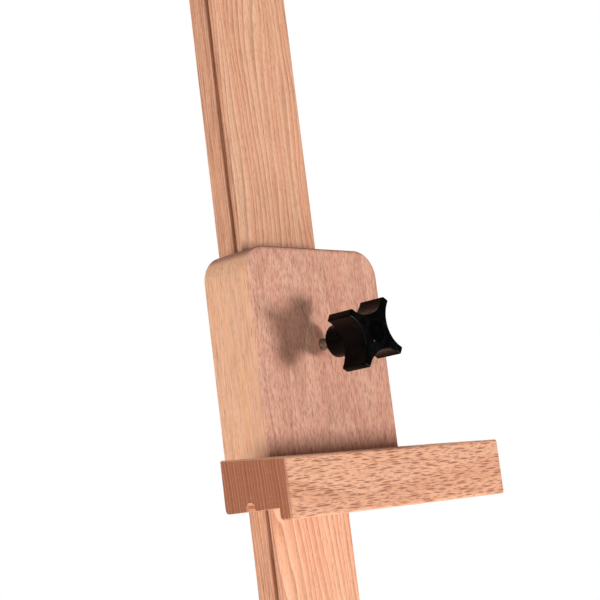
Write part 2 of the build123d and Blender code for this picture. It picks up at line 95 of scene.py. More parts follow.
def joint(name: str) -> dict:
    """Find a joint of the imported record.

    Args:
        name: The joint's name.

    Returns:
        The joint's entry, with its axis and place.
    """
    return next(entry for entry in frame["joints"] if entry["name"] == name)


def node(name: str) -> bpy.types.Object:
    """Return a CAD node's object by name."""
    return frame["nodes"][name]


UP = Vector(joint("mast_slide")["axis"]).normalized()
ACROSS = Vector((1.0, 0.0, 0.0))
FORWARD = Vector(joint("holder_knob_turn")["axis"]).normalized()
END_SHARE = 40               # a fortieth of a leg's points counts as one end
END_LEAST = 4


def long_axis(name: str) -> Vector:
    """Work out the direction of a leg from the middles of its two ends.

    Args:
        name: The CAD node of the leg.

    Returns:
        Unit vector that points up along the leg.
    """
    points = sorted((v.co.copy() for v in node(name).data.vertices), key=lambda p: p.z)
    count = max(END_LEAST, len(points) // END_SHARE)
    low = sum(points[:count], Vector()) / count
    high = sum(points[-count:], Vector()) / count
    return (high - low).normalized()


# --- Node building -----------------------------------------------------------------------

Socket = bpy.types.NodeSocket


@dataclass
class Sheet:
    """Adds nodes to one node tree and joins them."""

    tree: bpy.types.NodeTree

    def add(self, kind: str, **settings: object) -> bpy.types.Node:
        """Add a node.

        Args:
            kind: The node's type, such as ShaderNodeMath.
            settings: Properties to set on the node.

        Returns:
            The new node.
        """
        made = self.tree.nodes.new(kind)
        for name, value in settings.items():
            setattr(made, name, value)
        return made

    def put(self, value: object, socket: Socket) -> None:
        """Feed an input from another socket, or set it to a constant.

        Args:
            value: The other socket, or the constant.
            socket: The input.
        """
        if isinstance(value, bpy.types.NodeSocket):
            self.tree.links.new(value, socket)
        else:
            socket.default_value = value

    def math(self, operation: str, first: object, second: object = 0.0,
             clamp: bool = False) -> Socket:
        """Combine two numbers.

        Args:
            operation: The Math node's operation, such as MULTIPLY.
            first: First number.
            second: Second number, if the operation takes one.
            clamp: Whether the result is held between 0 and 1.

        Returns:
            The result's socket.
        """
        made = self.add("ShaderNodeMath", operation=operation, use_clamp=clamp)
        self.put(first, made.inputs[0])
        self.put(second, made.inputs[1])
        return made.outputs[0]

    def span(self, value: object, low: float, high: float,
             to_low: float = 0.0, to_high: float = 1.0) -> Socket:
        """Spread a range of values smoothly over another range.

        Args:
            value: The number to spread.
            low: Value that gives to_low.
            high: Value that gives to_high.
            to_low: Result at low.
            to_high: Result at high.

        Returns:
            The result's socket.
        """
        made = self.add("ShaderNodeMapRange", interpolation_type="SMOOTHSTEP")
        for name, number in (("From Min", low), ("From Max", high),
                             ("To Min", to_low), ("To Max", to_high)):
            self.put(number, made.inputs[name])
        self.put(value, made.inputs["Value"])
        return made.outputs["Result"]

    def mix(self, factor: object, first: object, second: object,
            blend: str = "MIX") -> Socket:
        """Mix two colours.

        Args:
            factor: Share of the second colour.
            first: First colour.
            second: Second colour.
            blend: The way of mixing, such as MULTIPLY.

        Returns:
            The result's socket.
        """
        made = self.add("ShaderNodeMix", data_type="RGBA", blend_type=blend)
        self.put(factor, made.inputs[0])
        self.put(first, made.inputs[6])
        self.put(second, made.inputs[7])
        return made.outputs[2]

    def noise(self, vector: object, scale: float, detail: float = 2.0,
              roughness: float = 0.5) -> Socket:
        """Add a noise texture.

        Args:
            vector: Place that the noise is read at.
            scale: Number of waves in one unit of the place.
            detail: Number of finer layers.
            roughness: Strength of each finer layer.

        Returns:
            The socket of the noise's value.
        """
        made = self.add("ShaderNodeTexNoise", noise_dimensions="3D")
        self.put(vector, made.inputs["Vector"])
        self.put(scale, made.inputs["Scale"])
        self.put(detail, made.inputs["Detail"])
        self.put(roughness, made.inputs["Roughness"])
        return made.outputs["Fac"]

    def stretched(self, vector: object, scales: tuple[float, float, float]) -> Socket:
        """Scale a vector's three parts.

        Args:
            vector: The vector.
            scales: Factor of each part.

        Returns:
            The result's socket.
        """
        made = self.add("ShaderNodeVectorMath", operation="MULTIPLY")
        self.put(vector, made.inputs[0])
        self.put(scales, made.inputs[1])
        return made.outputs[0]

    def times(self, first: object, *others: object) -> Socket:
        """Multiply numbers one after another.

        Args:
            first: First number.
            others: The numbers that it is multiplied by.

        Returns:
            The product's socket.
        """
        product = first
        for other in others:
            product = self.math("MULTIPLY", product, other)
        return product

    def split(self, vector: object) -> bpy.types.bpy_prop_collection:
        """Take a vector apart.

        Args:
            vector: The vector.

        Returns:
            The sockets of its three parts.
        """
        made = self.add("ShaderNodeSeparateXYZ")
        self.put(vector, made.inputs[0])
        return made.outputs

    def mapped(self, source: str, turn: Euler, location: Vector | None = None) -> Socket:
        """Read a texture coordinate in axes of the piece's own.

        Args:
            source: Output of the Texture Coordinate node.
            turn: Turn of the piece's axes.
            location: Origin of the axes for a place in millimetres, or none for a direction.

        Returns:
            The socket of the place or direction.
        """
        where = self.add("ShaderNodeTexCoord")
        made = self.add("ShaderNodeMapping", vector_type="TEXTURE")
        self.put(where.outputs[source], made.inputs["Vector"])
        made.inputs["Rotation"].default_value = turn
        if location is not None:
            made.inputs["Location"].default_value = location
            made.inputs["Scale"].default_value = (MM, MM, MM)
        return made.outputs[0]

    def bump(self, height: Socket, strength: float, distance: float, shader: bpy.types.Node
             ) -> None:
        """Feed a shader's normal from a height.

        Args:
            height: The height, from 0 to 1.
            strength: Share of the bump that shows.
            distance: Height of the bump.
            shader: The shader node.
        """
        made = self.add("ShaderNodeBump")
        made.inputs["Strength"].default_value = strength
        made.inputs["Distance"].default_value = distance
        self.put(height, made.inputs["Height"])
        self.put(made.outputs[0], shader.inputs["Normal"])


@dataclass
class EffectGroup:
    """A shader node group with named inputs and outputs."""

    name: str
    tree: bpy.types.NodeTree = field(init=False)
    sheet: Sheet = field(init=False)

    def __post_init__(self) -> None:
        """Make the empty group."""
        self.tree = bpy.data.node_groups.new(self.name, "ShaderNodeTree")
        self.sheet = Sheet(self.tree)

    def inputs(self, **sockets: tuple[str, object]) -> dict[str, Socket]:
        """Args:
            sockets: For each name the socket type, such as Float, and its default.

        Returns:
            The sockets inside the group, by name.
        """
        for name, (kind, default) in sockets.items():
            made = self.tree.interface.new_socket(
                name=name, in_out="INPUT", socket_type="NodeSocket" + kind)
            if default is not None:
                made.default_value = default
        outputs = self.sheet.add("NodeGroupInput").outputs
        return {name: outputs[name] for name in sockets}

    def outputs(self, **sockets: tuple[str, Socket]) -> None:
        """Args:
            sockets: For each name the socket type and the value that feeds it.
        """
        for name, (kind, _) in sockets.items():
            self.tree.interface.new_socket(
                name=name, in_out="OUTPUT", socket_type="NodeSocket" + kind)
        ends = self.sheet.add("NodeGroupOutput").inputs
        for name, (_, value) in sockets.items():
            self.sheet.put(value, ends[name])


@dataclass
class BeechFigure:
    """Beech figure: rings, rays, fibres, pores and end grain, worked out in millimetres.

    The board's own axes are X along the rings, Y across them and Z along the grain. A
    noise's stretch gives its detail per millimetre along those axes, a range gives the two
    values that a mask runs between, and a weight is the most that a layer covers. Each
    size of ray gives how much finer its cells are and the widest ray in them.
    """

    pale: Colour = (0.93, 0.62, 0.43, 1)
    orange: Colour = (0.86, 0.42, 0.20, 1)
    tangent_range: Range = (0.45, 0.9)
    side_range: Range = (0.35, 0.85)
    end_range: Range = (0.55, 0.85)
    sway_stretch: tuple[float, float, float] = (0.012, 0.012, 0.0030)
    sway_reach: float = 30.0
    wobble_stretch: tuple[float, float, float] = (0.10, 0.06, 0.012)
    wobble_reach: float = 3.2
    ring_change_along: float = 0.002
    uneven_years: float = 1.7
    firm_stretch: tuple[float, float, float] = (0.09, 0.09, 0.012)
    drift_stretch: tuple[float, float, float] = (0.05, 0.05, 0.006)
    tone_weight: float = 0.85
    late_weight: float = 0.45
    early_weight: float = 0.6
    streak_stretch: tuple[float, float, float] = (0.6, 0.6, 0.03)
    streak_weight: float = 0.5
    patch_stretch: tuple[float, float, float] = (0.22, 0.3, 0.03)
    patch_weight: float = 0.55
    fibre_stretch: tuple[float, float, float] = (1.35, 1.35, 0.075)
    fibre_dark_weight: float = 0.55
    fibre_pale_weight: float = 0.42
    pore_stretch: tuple[float, float, float] = (1.5, 1.5, 0.28)
    pore_weight: float = 0.5
    pores_lost_on_side: float = 0.55
    lean_stretch: tuple[float, float, float] = (0.12, 0.1, 0.035)
    lean_reach: float = 3.0
    ray_sizes: tuple[Range, Range] = ((1.0, 0.42), (1.45, 0.34))
    ray_least: float = 0.14
    ray_scatter: float = 0.9
    ray_edge: Range = (1.15, 0.35)
    fine_ray_weight: float = 0.75
    ray_weight: float = 0.8
    radial_weight: float = 0.10
    end_ray_stretch: tuple[float, float, float] = (2.2, 0.14, 0.2)
    end_ray_weight: float = 0.10
    end_line_weight: float = 0.8
    end_early_weight: float = 0.42
    rough_range: Range = (0.52, 0.74)
    group: EffectGroup = field(init=False)
    given: dict[str, Socket] = field(init=False)

    def tree(self) -> bpy.types.NodeTree:
        """Build the whole figure.

        Returns:
            The finished node group.
        """
        self.group = EffectGroup("Beech figure")
        sheet = self.group.sheet
        self.given = self.group.inputs(
            Place=("Vector", None), Facing=("Vector", None),
            Light=("Color", (0.8, 0.5, 0.33, 1)), Warm=("Color", (0.7, 0.38, 0.24, 1)),
            Side=("Color", (0.8, 0.5, 0.33, 1)), Dark=("Color", (0.35, 0.15, 0.08, 1)),
            End=("Color", (0.4, 0.18, 0.1, 1)), Rings=("Float", 0.5),
            RingPitch=("Float", 1.2), Rays=("Float", 0.5), RayLength=("Float", 5.0),
            RayWidth=("Float", 1.6), Fibres=("Float", 0.5), Drift=("Float", 0.5),
            Bend=("Float", 1.0))
        facing = sheet.split(self.given["Facing"])
        tangent = sheet.span(sheet.math("ABSOLUTE", facing[1]), *self.tangent_range)
        side = sheet.span(sheet.math("ABSOLUTE", facing[0]), *self.side_range)
        end = sheet.span(sheet.math("ABSOLUTE", facing[2]), *self.end_range)
        line, year = self.years()
        narrow = sheet.noise(line, 1.9, 3.0, 0.7)
        colour = self.rings(self.base(line, side), narrow, year)
        colour = self.edges(colour, side)
        colour, fibre, pores = self.fibres(colour, side)
        colour, ray_mask = self.rays(colour, tangent)
        colour = sheet.mix(end, colour, self.ends(narrow, year))
        height = sheet.math("SUBTRACT", sheet.times(fibre, 0.6),
                            sheet.times(sheet.math("ADD", ray_mask, pores), 0.4))
        rough = sheet.span(sheet.math("ADD", fibre, sheet.times(end, 0.3)), 0.3, 0.9,
                           *self.rough_range)
        self.group.outputs(Color=("Color", colour), Roughness=("Float", rough),
                           Height=("Float", height))
        return self.group.tree

    def years(self) -> tuple[Socket, Socket]:
        """Lay out the growth rings, which bend slowly along the board.

        Returns:
            A vector that changes across the rings, and how far a year has run, from 0 to 1.
        """
        sheet, place = self.group.sheet, self.given["Place"]
        parts = sheet.split(place)
        sway = sheet.noise(sheet.stretched(place, self.sway_stretch), 1.0, 2.0)
        wobble = sheet.noise(sheet.stretched(place, self.wobble_stretch), 1.0, 1.0)
        bend = sheet.math("ADD", sheet.times(sway, self.sway_reach),
                          sheet.times(wobble, self.wobble_reach))
        across = sheet.math("ADD", parts[1], sheet.times(bend, self.given["Bend"]))
        line = sheet.add("ShaderNodeCombineXYZ")
        years = sheet.math("DIVIDE", across, self.given["RingPitch"])
        sheet.put(years, line.inputs[1])
        sheet.put(sheet.times(parts[2], self.ring_change_along), line.inputs[2])
        spacing = sheet.noise(line.outputs[0], 0.4, 1.0)
        count = sheet.math("ADD", years, sheet.times(spacing, self.uneven_years))
        return line.outputs[0], sheet.math("FRACT", count)

    def base(self, line: Socket, side: Socket) -> Socket:
        """Let the colour drift between light and warm, with a tone of its own on the sides.

        Args:
            line: Vector that changes across the rings.
            side: Mask of the side faces.

        Returns:
            The base colour.
        """
        sheet, given = self.group.sheet, self.given
        broad = sheet.noise(line, 0.33, 2.0, 0.55)
        drift = sheet.noise(sheet.stretched(given["Place"], self.drift_stretch), 1.0, 3.0, 0.6)
        tone = sheet.math("ADD", sheet.times(sheet.span(broad, 0.34, 0.66), given["Rings"]),
                          sheet.times(sheet.span(drift, 0.32, 0.68), given["Drift"]))
        light = sheet.mix(side, given["Light"], given["Side"])
        warm = sheet.mix(sheet.times(side, 0.5), given["Warm"], given["Side"])
        return sheet.mix(sheet.math("MULTIPLY", tone, self.tone_weight, True), light, warm)

    def rings(self, colour: Socket, narrow: Socket, year: Socket) -> Socket:
        """Draw dark late wood and pale early wood.

        Args:
            colour: Colour to draw on.
            narrow: Fine change across the rings.
            year: How far a year has run.

        Returns:
            The new colour.
        """
        sheet, given = self.group.sheet, self.given
        uneven = sheet.noise(sheet.stretched(given["Place"], self.firm_stretch), 1.0, 2.0)
        firm = sheet.span(uneven, 0.32, 0.62, 0.45, 1.0)
        edge = sheet.times(sheet.span(year, 0.45, 0.97), firm)
        late = sheet.math("MAXIMUM", edge, sheet.times(sheet.span(narrow, 0.52, 0.72), 0.5))
        late = sheet.times(late, given["Rings"], self.late_weight)
        early = sheet.times(sheet.span(year, 0.40, 0.02), given["Rings"], self.early_weight)
        return sheet.mix(early, sheet.mix(late, colour, given["Dark"]), self.pale)

    def edges(self, colour: Socket, side: Socket) -> Socket:
        """Draw the coarse streaks and orange patches of a board's edges.

        Args:
            colour: Colour to draw on.
            side: Mask of the side faces.

        Returns:
            The new colour.
        """
        sheet, given = self.group.sheet, self.given
        streak = sheet.noise(sheet.stretched(given["Place"], self.streak_stretch), 1.0, 3.0, 0.6)
        streak = sheet.times(sheet.span(streak, 0.48, 0.68), side, given["Rings"],
                             self.streak_weight)
        patch = sheet.noise(sheet.stretched(given["Place"], self.patch_stretch), 1.0, 2.0)
        patch = sheet.times(sheet.span(patch, 0.5, 0.66), side, given["Drift"],
                            self.patch_weight)
        return sheet.mix(patch, sheet.mix(streak, colour, given["Dark"]), self.orange)

    def fibres(self, colour: Socket, side: Socket) -> tuple[Socket, Socket, Socket]:
        """Draw long thin fibres, and pores as short dark dashes.

        Args:
            colour: Colour to draw on.
            side: Mask of the side faces.

        Returns:
            The new colour, the fibre noise and the mask of the pores.
        """
        sheet, given = self.group.sheet, self.given
        fibre = sheet.noise(sheet.stretched(given["Place"], self.fibre_stretch), 1.0, 4.0, 0.72)
        dark = sheet.times(sheet.span(fibre, 0.5, 0.7), given["Fibres"], self.fibre_dark_weight)
        pale = sheet.times(sheet.span(fibre, 0.48, 0.32), given["Fibres"],
                           self.fibre_pale_weight)
        colour = sheet.mix(pale, sheet.mix(dark, colour, given["Dark"]), self.pale)
        dash = sheet.noise(sheet.stretched(given["Place"], self.pore_stretch), 1.0, 1.0, 0.5)
        kept = sheet.math("SUBTRACT", 1.0, sheet.times(side, self.pores_lost_on_side))
        pores = sheet.times(sheet.span(dash, 0.57, 0.69), given["Fibres"], kept)
        colour = sheet.mix(sheet.times(pores, self.pore_weight), colour, given["Dark"])
        return colour, fibre, pores

    def rays(self, colour: Socket, tangent: Socket) -> tuple[Socket, Socket]:
        """Draw thin dark spindles, in two sizes, where the rings lie flat to the face.

        Args:
            colour: Colour to draw on.
            tangent: Mask of the faces that lie flat to the rings.

        Returns:
            The new colour and the mask of the rays.
        """
        sheet, given = self.group.sheet, self.given
        parts = sheet.split(given["Place"])
        lean = sheet.noise(sheet.stretched(given["Place"], self.lean_stretch), 1.0, 1.0)
        across = sheet.math("ADD", parts[0], sheet.times(lean, self.lean_reach))
        sizes = []
        for finer, widest in self.ray_sizes:
            spot = sheet.add("ShaderNodeCombineXYZ")
            for value, length, socket in ((across, "RayWidth", 0), (parts[2], "RayLength", 1)):
                sheet.put(sheet.times(sheet.math("DIVIDE", value, given[length]), finer),
                          spot.inputs[socket])
            cells = sheet.add("ShaderNodeTexVoronoi", voronoi_dimensions="2D", feature="F1",
                              distance="EUCLIDEAN")
            sheet.put(spot.outputs[0], cells.inputs["Vector"])
            sheet.put(1.0, cells.inputs["Scale"])
            sheet.put(self.ray_scatter, cells.inputs["Randomness"])
            limit = sheet.span(sheet.split(cells.outputs["Color"])[0], 0.0, 1.0,
                               self.ray_least, widest)
            reach = sheet.math("DIVIDE", cells.outputs["Distance"], limit)
            sizes.append(sheet.span(reach, *self.ray_edge))
        ray = sheet.math("MAXIMUM", sizes[0], sheet.times(sizes[1], self.fine_ray_weight))
        mask = sheet.times(ray, given["Rays"], tangent)
        colour = sheet.mix(sheet.times(mask, self.ray_weight), colour, given["Dark"])
        radial = sheet.times(sheet.math("SUBTRACT", 1.0, tangent), ray, self.radial_weight)
        return sheet.mix(radial, colour, self.pale), mask

    def ends(self, narrow: Socket, year: Socket) -> Socket:
        """Draw end grain: ring lines crossed by fine rays.

        Args:
            narrow: Fine change across the rings.
            year: How far a year has run.

        Returns:
            The colour of the board's ends.
        """
        sheet, given = self.group.sheet, self.given
        lines = sheet.math("ADD", sheet.times(sheet.span(year, 0.25, 0.95), 0.6),
                           sheet.times(sheet.span(narrow, 0.4, 0.65), 0.45))
        colour = sheet.mix(sheet.math("MULTIPLY", lines, self.end_line_weight, True),
                           given["End"], given["Dark"])
        early = sheet.times(sheet.span(year, 0.22, 0.02), self.end_early_weight)
        colour = sheet.mix(early, colour, given["Warm"])
        crossing = sheet.noise(sheet.stretched(given["Place"], self.end_ray_stretch), 1.0, 2.0)
        crossing = sheet.times(sheet.span(crossing, 0.52, 0.7), self.end_ray_weight)
        return sheet.mix(crossing, colour, given["Warm"])


def painted_groove_shade_group() -> bpy.types.NodeTree:
    """Build painted shade that darkens the grooves cut into a board's two edges.

    Returns:
        The finished node group. Its Place has X across the board and Y from front to back,
        in millimetres.
    """
    group = EffectGroup("Painted groove shade")
    sheet = group.sheet
    given = group.inputs(Place=("Vector", None), Color=("Color", (0.5, 0.5, 0.5, 1)),
                         Shade=("Color", (0.7, 0.6, 0.55, 1)), HalfWidth=("Float", 29.0),
                         Thickness=("Float", 19.0))
    parts = sheet.split(given["Place"])
    inset = sheet.math("SUBTRACT", given["HalfWidth"], sheet.math("ABSOLUTE", parts[0]))
    behind = sheet.math("SUBTRACT", given["Thickness"], parts[1])
    depth = sheet.math("MINIMUM", parts[1], behind)
    # Painted shade: the mask is strongest deep inside the groove, where light does not reach.
    inside = sheet.times(sheet.span(inset, 0.15, 1.6), sheet.span(depth, 0.3, 1.0))
    # Noise makes the painted shade uneven along the groove.
    blotch = sheet.noise(sheet.stretched(given["Place"], (0.3, 0.3, 0.03)), 1.0, 3.0)
    blotch = sheet.span(blotch, 0.3, 0.7, 0.75, 1.0)
    # The Shade colour multiplies the wood colour, painting the groove's shade.
    dark = sheet.mix(1.0, given["Color"], given["Shade"], "MULTIPLY")
    group.outputs(Color=("Color", sheet.mix(sheet.times(inside, blotch), given["Color"], dark)))
    return group.tree


def speckle_group() -> bpy.types.NodeTree:
    """Build fine mottling that varies a smooth finish: colour, roughness and height.

    Returns:
        The finished node group.
    """
    group = EffectGroup("Fine mottle")
    sheet = group.sheet
    given = group.inputs(Place=("Vector", None), Base=("Color", (0.5, 0.5, 0.5, 1)),
                         Worn=("Color", (0.7, 0.7, 0.7, 1)), Amount=("Float", 0.3),
                         Size=("Float", 1.0), Smooth=("Float", 0.25), Rough=("Float", 0.4))
    fine = sheet.noise(given["Place"], 6.0, 2.0)
    patch = sheet.span(sheet.noise(given["Place"], given["Size"], 4.0), 0.4, 0.7)
    colour = sheet.mix(sheet.times(patch, given["Amount"]), given["Base"], given["Worn"])
    blend = sheet.math("ADD", sheet.times(patch, 0.7), sheet.times(fine, 0.3))
    spread = sheet.math("SUBTRACT", given["Rough"], given["Smooth"])
    rough = sheet.math("ADD", given["Smooth"], sheet.times(blend, spread))
    group.outputs(Color=("Color", colour), Roughness=("Float", rough),
                  Height=("Float", fine))
    return group.tree


# --- Finishes ----------------------------------------------------------------------------

@dataclass(frozen=True)
class BeechFinish:
    """Bare oiled beech with the figure of one kind of board."""

    light: Colour
    warm: Colour
    side: Colour
    dark: Colour
    end: Colour
    rings: float = 0.5
    ring_pitch_mm: float = 1.2
    rays: float = 0.5
    ray_length_mm: float = 5.0
    ray_width_mm: float = 1.6
    fibres: float = 0.5
    drift: float = 0.5
    bend: float = 1.0
    specular: float = 0.15
    bump_strength: float = 0.35
    bump_mm: float = 0.12

    def material(self, name: str, grain: Vector, rings: Vector, origin: Vector,
                 figure: bpy.types.NodeTree) -> bpy.types.Material:
        """Make the material of one board.

        Args:
            name: The material's name.
            grain: Direction of the grain.
            rings: Direction across the growth rings.
            origin: Place in the log that the board was cut from.
            figure: The shared beech figure.

        Returns:
            The new material.
        """
        made = bpy.data.materials.new(name)
        made.use_nodes = True
        sheet = Sheet(made.node_tree)
        shader = made.node_tree.nodes["Principled BSDF"]
        z = grain.normalized()
        y = (rings - z * rings.dot(z)).normalized()
        turn = Matrix((y.cross(z), y, z)).transposed().to_euler()
        body = sheet.add("ShaderNodeGroup", node_tree=figure)
        sheet.put(sheet.mapped("Object", turn, origin), body.inputs["Place"])
        sheet.put(sheet.mapped("Normal", turn), body.inputs["Facing"])
        values = {"Light": self.light, "Warm": self.warm, "Side": self.side,
                  "Dark": self.dark, "End": self.end, "Rings": self.rings,
                  "RingPitch": self.ring_pitch_mm, "Rays": self.rays,
                  "RayLength": self.ray_length_mm, "RayWidth": self.ray_width_mm,
                  "Fibres": self.fibres, "Drift": self.drift, "Bend": self.bend}
        for key, value in values.items():
            body.inputs[key].default_value = value
        sheet.put(body.outputs["Color"], shader.inputs["Base Color"])
        sheet.put(body.outputs["Roughness"], shader.inputs["Roughness"])
        sheet.bump(body.outputs["Height"], self.bump_strength, self.bump_mm * MM, shader)
        shader.inputs["Specular IOR Level"].default_value = self.specular
        return made


@dataclass(frozen=True)
class PlainFinish:
    """Metal, plastic or rubber with fine mottling."""

    base: Colour
    worn: Colour
    smooth: float
    rough: float
    metal: float = 0.0
    amount: float = 0.4
    size: float = 0.15
    bump_mm: float = 0.01
    bump_strength: float = 0.3
    specular: float = 0.5

    def material(self, name: str, mottle: bpy.types.NodeTree) -> bpy.types.Material:
        """Make the material.

        Args:
            name: The material's name.
            mottle: The shared mottling group.

        Returns:
            The new material.
        """
        made = bpy.data.materials.new(name)
        made.use_nodes = True
        sheet = Sheet(made.node_tree)
        shader = made.node_tree.nodes["Principled BSDF"]
        body = sheet.add("ShaderNodeGroup", node_tree=mottle)
        sheet.put(sheet.mapped("Object", Euler(), Vector()), body.inputs["Place"])
        values = {"Base": self.base, "Worn": self.worn, "Amount": self.amount,
                  "Size": self.size, "Smooth": self.smooth, "Rough": self.rough}
        for key, value in values.items():
            body.inputs[key].default_value = value
        sheet.put(body.outputs["Color"], shader.inputs["Base Color"])
        sheet.put(body.outputs["Roughness"], shader.inputs["Roughness"])
        sheet.bump(body.outputs["Height"], self.bump_strength, self.bump_mm * MM, shader)
        shader.inputs["Metallic"].default_value = self.metal
        shader.inputs["Specular IOR Level"].default_value = self.specular
        return made


MAST_BEECH = BeechFinish(light=(0.92, 0.52, 0.33, 1), warm=(0.83, 0.395, 0.235, 1),
                         side=(0.62, 0.29, 0.18, 1), dark=(0.30, 0.105, 0.055, 1),
                         end=(0.42, 0.18, 0.105, 1), rings=1.0, ring_pitch_mm=1.7,
                         rays=0.12, ray_length_mm=5.0, ray_width_mm=1.2, fibres=0.62,
                         drift=0.6)
BLOCK_BEECH = BeechFinish(light=(0.84, 0.45, 0.325, 1), warm=(0.76, 0.365, 0.255, 1),
                          side=(0.83, 0.47, 0.29, 1), dark=(0.25, 0.09, 0.055, 1),
                          end=(0.40, 0.17, 0.10, 1), rings=0.4, ring_pitch_mm=1.6,
                          rays=0.50, ray_length_mm=6.5, ray_width_mm=1.05, fibres=0.8,
                          drift=0.7)
LEDGE_BEECH = BeechFinish(light=(0.86, 0.445, 0.275, 1), warm=(0.80, 0.38, 0.225, 1),
                          side=(0.88, 0.48, 0.31, 1), dark=(0.27, 0.075, 0.032, 1),
                          end=(0.38, 0.145, 0.083, 1), rings=0.3, ring_pitch_mm=2.1,
                          rays=0.95, ray_length_mm=12.0, ray_width_mm=1.35, fibres=0.6,
                          bend=0.2)
FRAME_BEECH = BeechFinish(light=(0.87, 0.49, 0.335, 1), warm=(0.77, 0.38, 0.25, 1),
                          side=(0.82, 0.45, 0.29, 1), dark=(0.28, 0.105, 0.06, 1),
                          end=(0.42, 0.18, 0.105, 1), rings=0.7, ring_pitch_mm=1.7,
                          rays=0.3, ray_length_mm=6.0, ray_width_mm=1.1, fibres=0.6)
BLACK_PLASTIC = PlainFinish(base=(0.0007, 0.0007, 0.0008, 1), worn=(0.003, 0.0028, 0.0028, 1),
                            smooth=0.18, rough=0.30, amount=0.5, size=0.2, specular=0.065)
CAP_PLASTIC = PlainFinish(base=(0.0004, 0.0004, 0.0005, 1), worn=(0.001, 0.001, 0.001, 1),
                          smooth=0.10, rough=0.2, amount=0.3, size=0.2, specular=0.12)
BRASS = PlainFinish(base=(0.62, 0.57, 0.44, 1), worn=(0.36, 0.32, 0.23, 1), smooth=0.2,
                    rough=0.42, metal=1.0, size=0.5)
ZINC = PlainFinish(base=(0.58, 0.59, 0.60, 1), worn=(0.42, 0.43, 0.45, 1), smooth=0.28,
                   rough=0.48, metal=1.0, size=0.25)
RUBBER = PlainFinish(base=(0.022, 0.022, 0.023, 1), worn=(0.05, 0.05, 0.05, 1), smooth=0.65,
                     rough=0.85, amount=0.6, size=0.3, bump_mm=0.05)


def dress(target: bpy.types.Object, finish: bpy.types.Material) -> None:
    """Give an object one material in every slot."""
    target.data.materials.clear()
    target.data.materials.append(finish)


@dataclass
class Timber:
    """Dresses every wooden CAD node as a board with its own grain, and paints shade into the
    mast's grooves.
    """

    figure: bpy.types.NodeTree
    # Node group that paints shade into the mast's edge grooves.
    groove_painted_shade: bpy.types.NodeTree
    place_in_log: float = 0.37
    log_step: float = 0.173
    log_spread: tuple[float, float, float] = (1.0, 1.7, -2.3)
    mast_slant: float = 0.45
    block_slant: float = 0.15
    clamp_slant: float = -0.2
    ledge_slant: float = 0.08
    bar_slant: float = 0.5
    guide_slant: float = 0.4
    ear_slant: float = 0.3

    def board(self, name: str, finish: BeechFinish, grain: Vector, rings: Vector) -> None:
        """Dress one board.

        Args:
            name: The CAD node.
            finish: The kind of beech.
            grain: Direction of the grain.
            rings: Direction across the growth rings.
        """
        self.place_in_log += self.log_step
        origin = Vector([self.place_in_log * part for part in self.log_spread])
        made = finish.material(name + "_beech", grain, rings, origin, self.figure)
        dress(node(name), made)
        LOG.info("board %s dressed", name)

    def paint_groove_shade(self, name: str) -> None:
        """Paint shade into the grooves along both edges of an upright board that faces forward.

        Args:
            name: The CAD node, already dressed.
        """
        points = [vertex.co for vertex in node(name).data.vertices]
        half = max(abs(point.x) for point in points)
        front = max(point.dot(FORWARD) for point in points)
        back = min(point.dot(FORWARD) for point in points)
        made = node(name).data.materials[0]
        sheet = Sheet(made.node_tree)
        turn = Matrix((ACROSS, -FORWARD, UP)).transposed().to_euler()
        shade = sheet.add("ShaderNodeGroup", node_tree=self.groove_painted_shade)
        sheet.put(sheet.mapped("Object", turn, FORWARD * front), shade.inputs["Place"])
        shade.inputs["HalfWidth"].default_value = half / MM
        shade.inputs["Thickness"].default_value = (front - back) / MM
        base = made.node_tree.nodes["Principled BSDF"].inputs["Base Color"]
        sheet.put(base.links[0].from_socket, shade.inputs["Color"])
        sheet.put(shade.outputs["Color"], base)

    def dress_all(self) -> None:
        """Dress the mast, carriages, frame and rear leg."""
        slant = (FORWARD + ACROSS * self.mast_slant).normalized()
        self.board("mast", MAST_BEECH, UP, slant)
        # Painted shade in the mast's edge grooves, standing in for the shade that falls there.
        self.paint_groove_shade("mast")
        for prefix in ("holder", "tray"):
            self.board(prefix + "_block", BLOCK_BEECH, UP, FORWARD + ACROSS * self.block_slant)
            self.board(prefix + "_ledge", LEDGE_BEECH, ACROSS, FORWARD + UP * self.ledge_slant)
            self.board(prefix + "_tongues", FRAME_BEECH, UP, FORWARD)
        self.board("mast_clamp_block", BLOCK_BEECH, UP, FORWARD + ACROSS * self.clamp_slant)
        for name in ("lower_crossbar", "middle_crossbar", "head_block"):
            self.board(name, FRAME_BEECH, ACROSS, FORWARD + UP * self.bar_slant)
        for name in ("front_leg_left", "front_leg_right", "rear_leg"):
            self.board(name, FRAME_BEECH, long_axis(name), slant)
        for side in ("left", "right"):
            self.board("mast_guide_" + side, BLOCK_BEECH, UP,
                       ACROSS + FORWARD * self.guide_slant)
            self.board("hinge_ear_" + side, BLOCK_BEECH, FORWARD,
                       ACROSS + UP * self.ear_slant)
        self.board("frame_dowels", FRAME_BEECH, ACROSS, UP)


# --- Modelled pieces ---------------------------------------------------------------------


def select_faces(piece: bpy.types.Object, wanted: Callable[[bpy.types.MeshPolygon], bool]
                 ) -> None:
    """Select the faces of the piece in edit mode that pass a test, and no others.

    Args:
        piece: The piece, in edit mode.
        wanted: Test of one face.
    """
    bpy.ops.mesh.select_mode(type="FACE")
    bpy.ops.mesh.select_all(action="DESELECT")
    bpy.ops.object.mode_set(mode="OBJECT")
    for face in piece.data.polygons:
        face.select = wanted(face)
    bpy.ops.object.mode_set(mode="EDIT")


def make_active(piece: bpy.types.Object) -> None:
    """Select one piece alone and make it the active one.

    Args:
        piece: The piece.
    """
    bpy.ops.object.select_all(action="DESELECT")
    piece.select_set(True)
    bpy.context.view_layer.objects.active = piece


